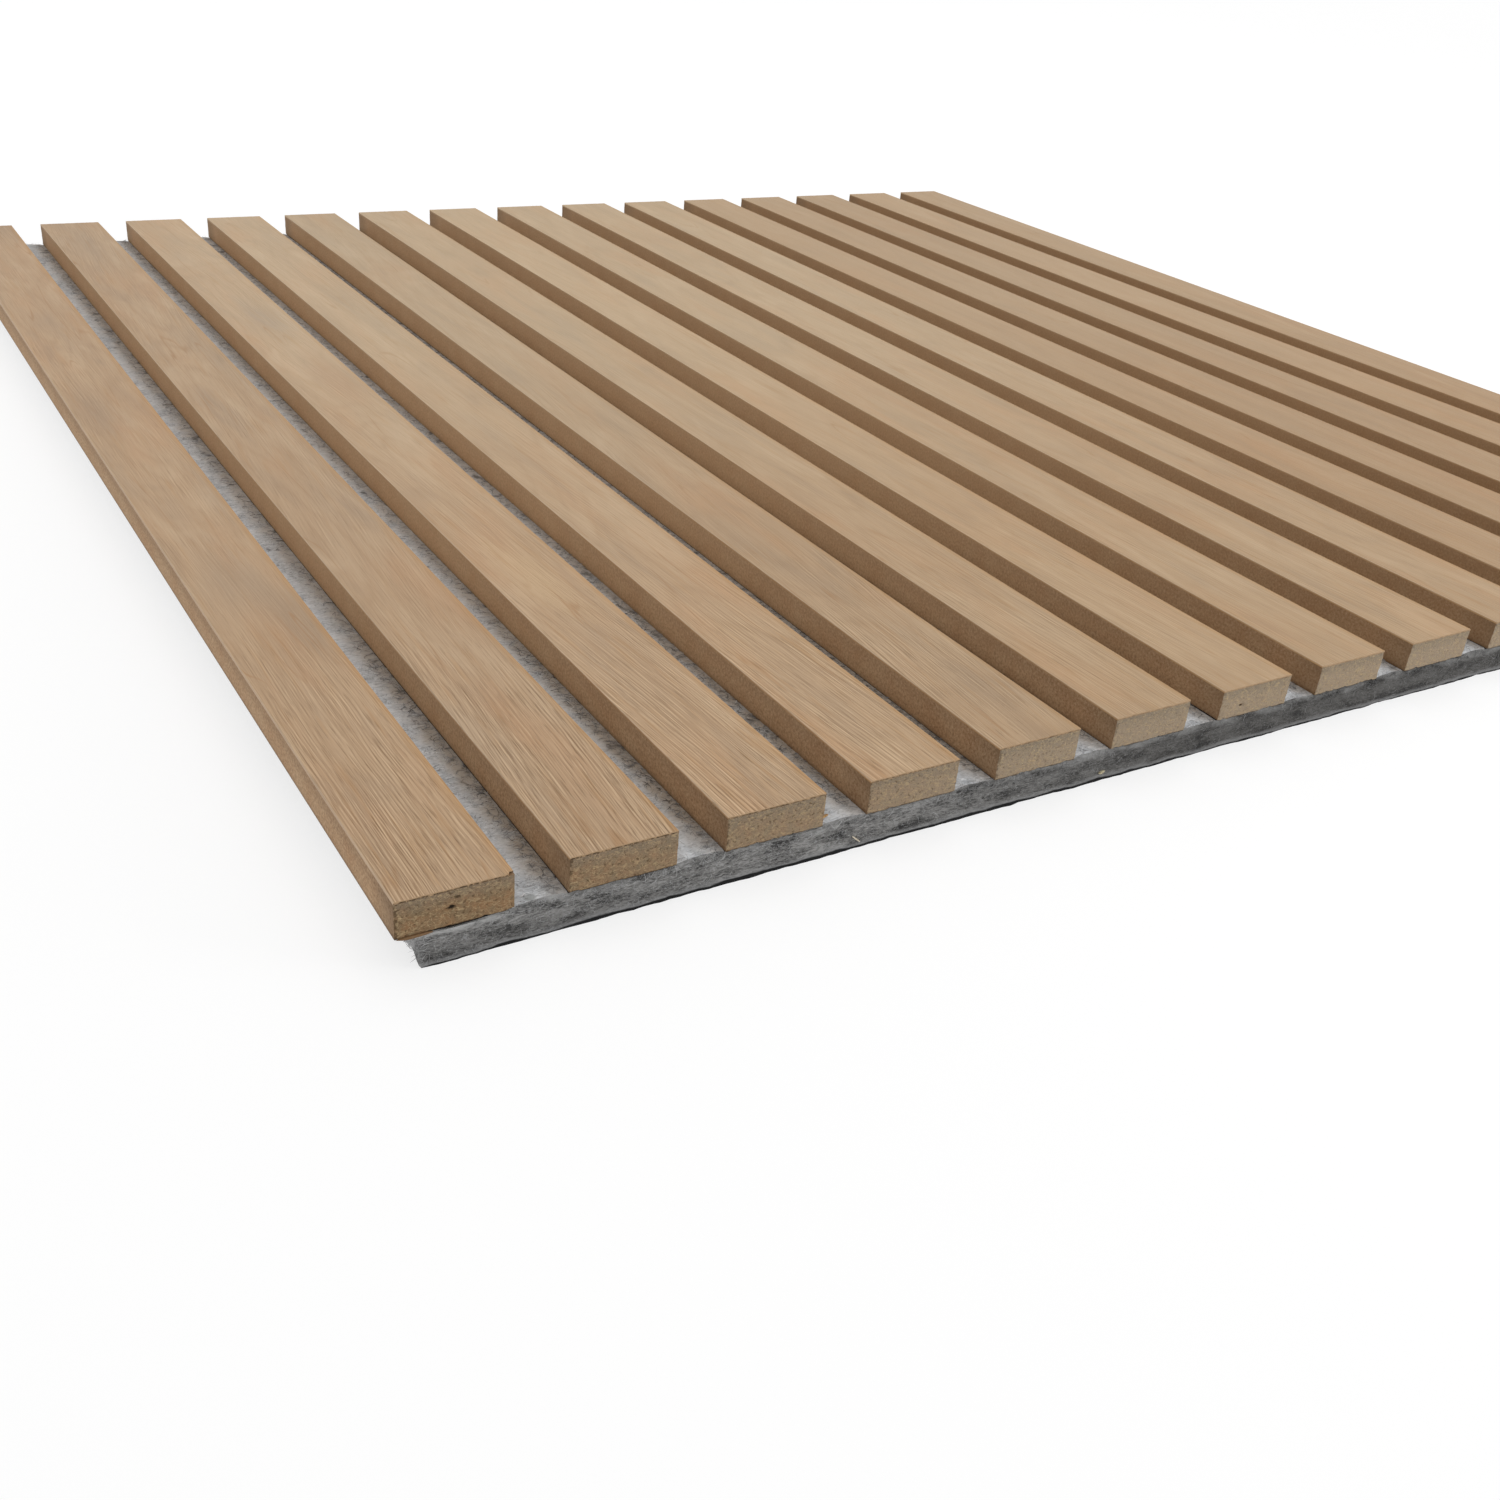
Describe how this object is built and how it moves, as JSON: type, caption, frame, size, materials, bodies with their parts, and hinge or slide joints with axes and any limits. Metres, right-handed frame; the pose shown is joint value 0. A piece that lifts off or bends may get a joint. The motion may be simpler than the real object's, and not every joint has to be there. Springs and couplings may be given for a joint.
{
  "type": "acoustic slat wall panel",
  "caption": "Square acoustic wall panel: parallel oak-veneered MDF slats glued on a grey felt board, with open grooves between them that soak up sound.",
  "frame": {"origin": "middle of the panel's footprint, on the back of the felt", "axes": "+X across the slats towards the felt's joining lip, +Y along the slats, +Z out of the wall; the panel lies on its felt back with the slats up"},
  "size_m": [0.6, 0.6, 0.0186],
  "materials": {
    "felt": "matt needle felt",
    "mdf": "sawn, bare",
    "oak_veneer": "matt, brushed"
  },
  "bodies": {
    "root": {"felt_backing": "felt", "slat_core_01": "mdf", "slat_core_02": "mdf", "slat_core_03": "mdf", "slat_core_04": "mdf", "slat_core_05": "mdf", "slat_core_06": "mdf", "slat_core_07": "mdf", "slat_core_08": "mdf", "slat_core_09": "mdf", "slat_core_10": "mdf", "slat_core_11": "mdf", "slat_core_12": "mdf", "slat_core_13": "mdf", "slat_core_14": "mdf", "slat_core_15": "mdf", "slat_veneer_01": "oak_veneer", "slat_veneer_02": "oak_veneer", "slat_veneer_03": "oak_veneer", "slat_veneer_04": "oak_veneer", "slat_veneer_05": "oak_veneer", "slat_veneer_06": "oak_veneer", "slat_veneer_07": "oak_veneer", "slat_veneer_08": "oak_veneer", "slat_veneer_09": "oak_veneer", "slat_veneer_10": "oak_veneer", "slat_veneer_11": "oak_veneer", "slat_veneer_12": "oak_veneer", "slat_veneer_13": "oak_veneer", "slat_veneer_14": "oak_veneer", "slat_veneer_15": "oak_veneer"}
  },
  "joints": []
}
